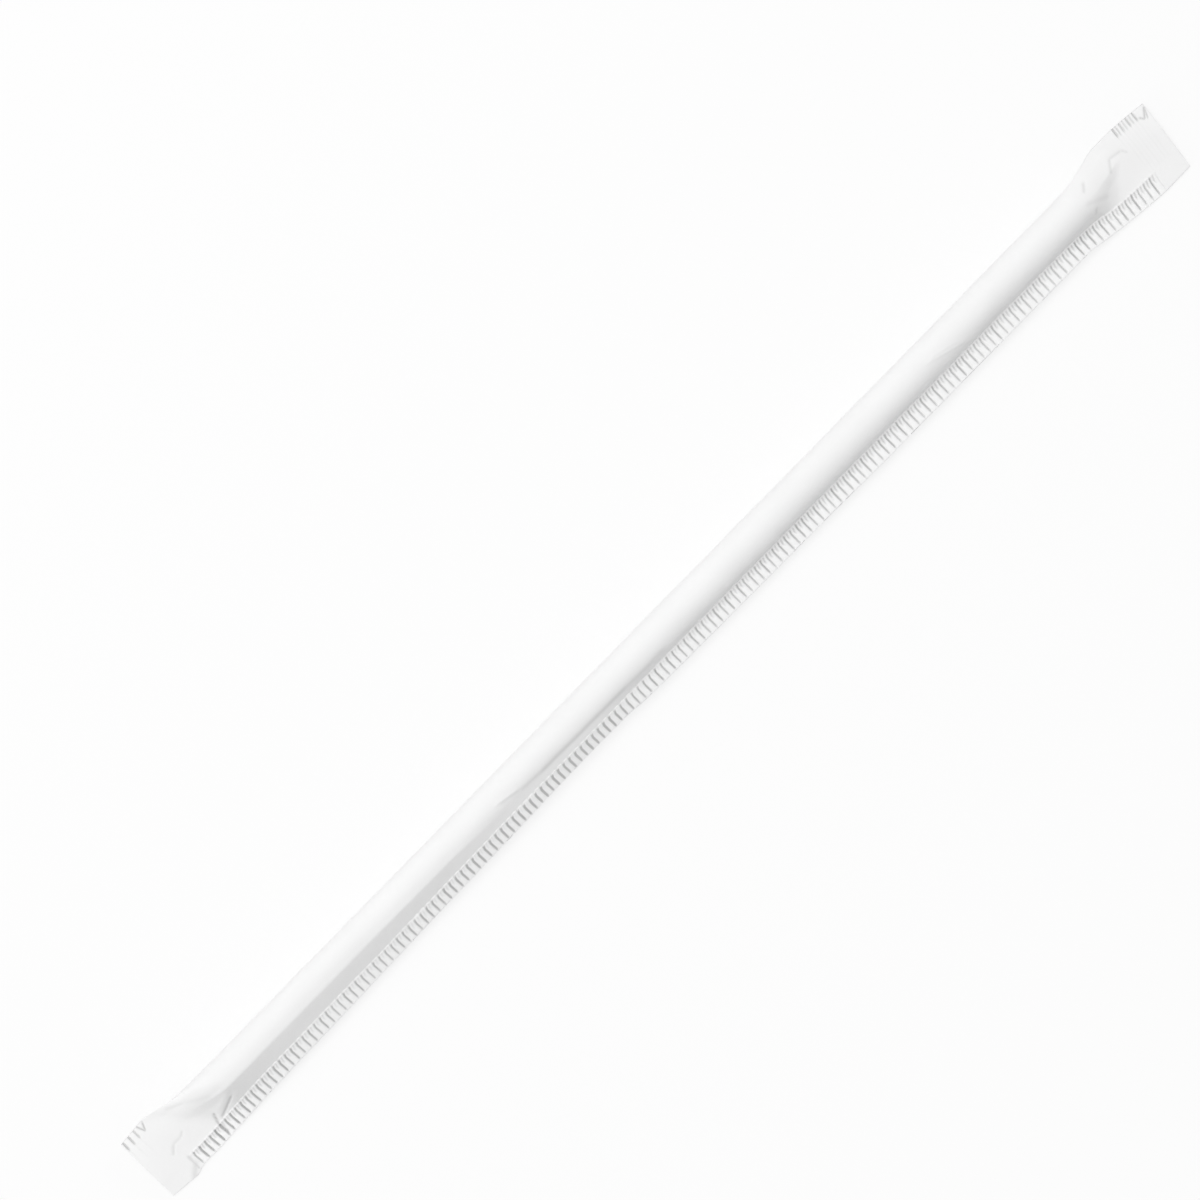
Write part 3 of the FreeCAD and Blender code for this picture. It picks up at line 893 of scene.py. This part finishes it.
def shown_rays(graph):
    """1 for the rays that show a thing, straight, mirrored or through it, and 0 for those that light it."""
    camera, mirrored, passed = (graph.node("ShaderNodeLightPath", None, (), output) for output in (0, 3, 6))
    return graph.node("ShaderNodeMath", {"operation": "MAXIMUM"}, [camera, mirrored + passed])


def floor_material():
    """A pale floor that the camera sees as white, with the straw's shadow kept."""
    floor = bpy.data.materials.new("pale_floor")
    floor.use_nodes = True
    floor.node_tree.nodes.clear()
    graph = Graph(floor.node_tree)
    matt = graph.node("ShaderNodeBsdfDiffuse", None, {"Color": FLOOR_COLOUR})
    white = graph.node("ShaderNodeEmission", None, {"Color": WHITE})
    shown = shown_rays(graph) * FLOOR_WHITENESS
    both = graph.node("ShaderNodeMixShader", None, {0: shown, 1: matt, 2: white})
    graph.node("ShaderNodeOutputMaterial", None, {"Surface": both})
    return floor


class STRAW_OT_stage(Operator):
    """Set the pale floor, the soft light and the camera that looks straight down"""

    bl_idname = "straw.stage"
    bl_label = "Stage"

    def execute(self, context):
        settings = context.scene.stage_settings
        context.scene.view_settings.view_transform = "Standard"
        floor = bpy.data.meshes.new("floor")
        turns = ((-1.0, -1.0), (1.0, -1.0), (1.0, 1.0), (-1.0, 1.0))
        corners = [(right * FLOOR_REACH, up * FLOOR_REACH, 0.0) for right, up in turns]
        floor.from_pydata(corners, [], [(0, 1, 2, 3)])
        floor.materials.append(floor_material())
        ground = bpy.data.objects.new("floor", floor)
        context.scene.collection.objects.link(ground)

        world = bpy.data.worlds.new("even_light")
        world.use_nodes = True
        world.node_tree.nodes.clear()
        graph = Graph(world.node_tree)
        strength = shown_rays(graph) * (1.0 - settings.world_strength) + settings.world_strength
        sky = graph.node("ShaderNodeBackground", None, {"Color": WHITE, "Strength": strength})
        graph.node("ShaderNodeOutputWorld", None, {"Surface": sky})
        context.scene.world = world

        lamps = [("soft_key", KEY_PLACE, settings.key_power, settings.key_size)]
        for name, place, share in END_FILLS:
            lamps.append((name, place, settings.fill_power * share, settings.fill_size))
        for name, place, power, size in lamps:
            lamp = bpy.data.lights.new(name, "AREA")
            lamp.shape = "SQUARE"
            lamp.size = size
            lamp.energy = power
            light = bpy.data.objects.new(name, lamp)
            light.location = place
            light.rotation_euler = (-light.location).to_track_quat("-Z", "Y").to_euler()
            context.scene.collection.objects.link(light)

        camera = bpy.data.cameras.new("camera")
        camera.lens = settings.lens
        camera.sensor_width = SENSOR_WIDTH
        height = settings.frame_width * settings.lens / SENSOR_WIDTH
        eye = bpy.data.objects.new("camera", camera)
        turn = math.radians(PHOTO_TURN)
        right, up = PHOTO_CENTRE[0] * MM, PHOTO_CENTRE[1] * MM
        eye.location = (
            right * math.cos(turn) + up * math.sin(turn),
            up * math.cos(turn) - right * math.sin(turn),
            height + AXIS_HEIGHT * MM,
        )
        eye.rotation_euler = (0.0, 0.0, -turn)
        context.scene.collection.objects.link(eye)
        context.scene.camera = eye
        return {"FINISHED"}


class STRAW_PT_panel(Panel):
    """The wrapped straw's sizes, paper and stage"""

    bl_idname = "STRAW_PT_panel"
    bl_label = "Wrapped Straw"
    bl_space_type = "VIEW_3D"
    bl_region_type = "UI"
    bl_category = "Straw"

    def draw(self, context):
        groups = ("wrapper_sizes", "paper_finish", "stage_settings")
        for name in groups:
            group = getattr(context.scene, name)
            for field in group.bl_rna.properties:
                if not field.is_readonly and field.identifier != "name":
                    self.layout.prop(group, field.identifier)
        for operator in (STRAW_OT_wrapper, STRAW_OT_stage):
            self.layout.operator(operator.bl_idname)


GROUPS = {"wrapper_sizes": WrapperSizes, "paper_finish": PaperFinish, "stage_settings": StageSettings}
CLASSES = (WrapperSizes, PaperFinish, StageSettings, STRAW_OT_wrapper, STRAW_OT_stage, STRAW_PT_panel)


def register():
    """Add the classes and their settings to the scene."""
    for each in CLASSES:
        bpy.utils.register_class(each)
    for name, group in GROUPS.items():
        setattr(bpy.types.Scene, name, PointerProperty(type=group))


def unregister():
    """Take the settings and the classes away again."""
    for name in GROUPS:
        delattr(bpy.types.Scene, name)
    for each in reversed(CLASSES):
        bpy.utils.unregister_class(each)


def main():
    """Build the piece and the stage."""
    register()
    bpy.ops.straw.wrapper()
    bpy.ops.straw.stage()


if __name__ == "__main__":
    main()
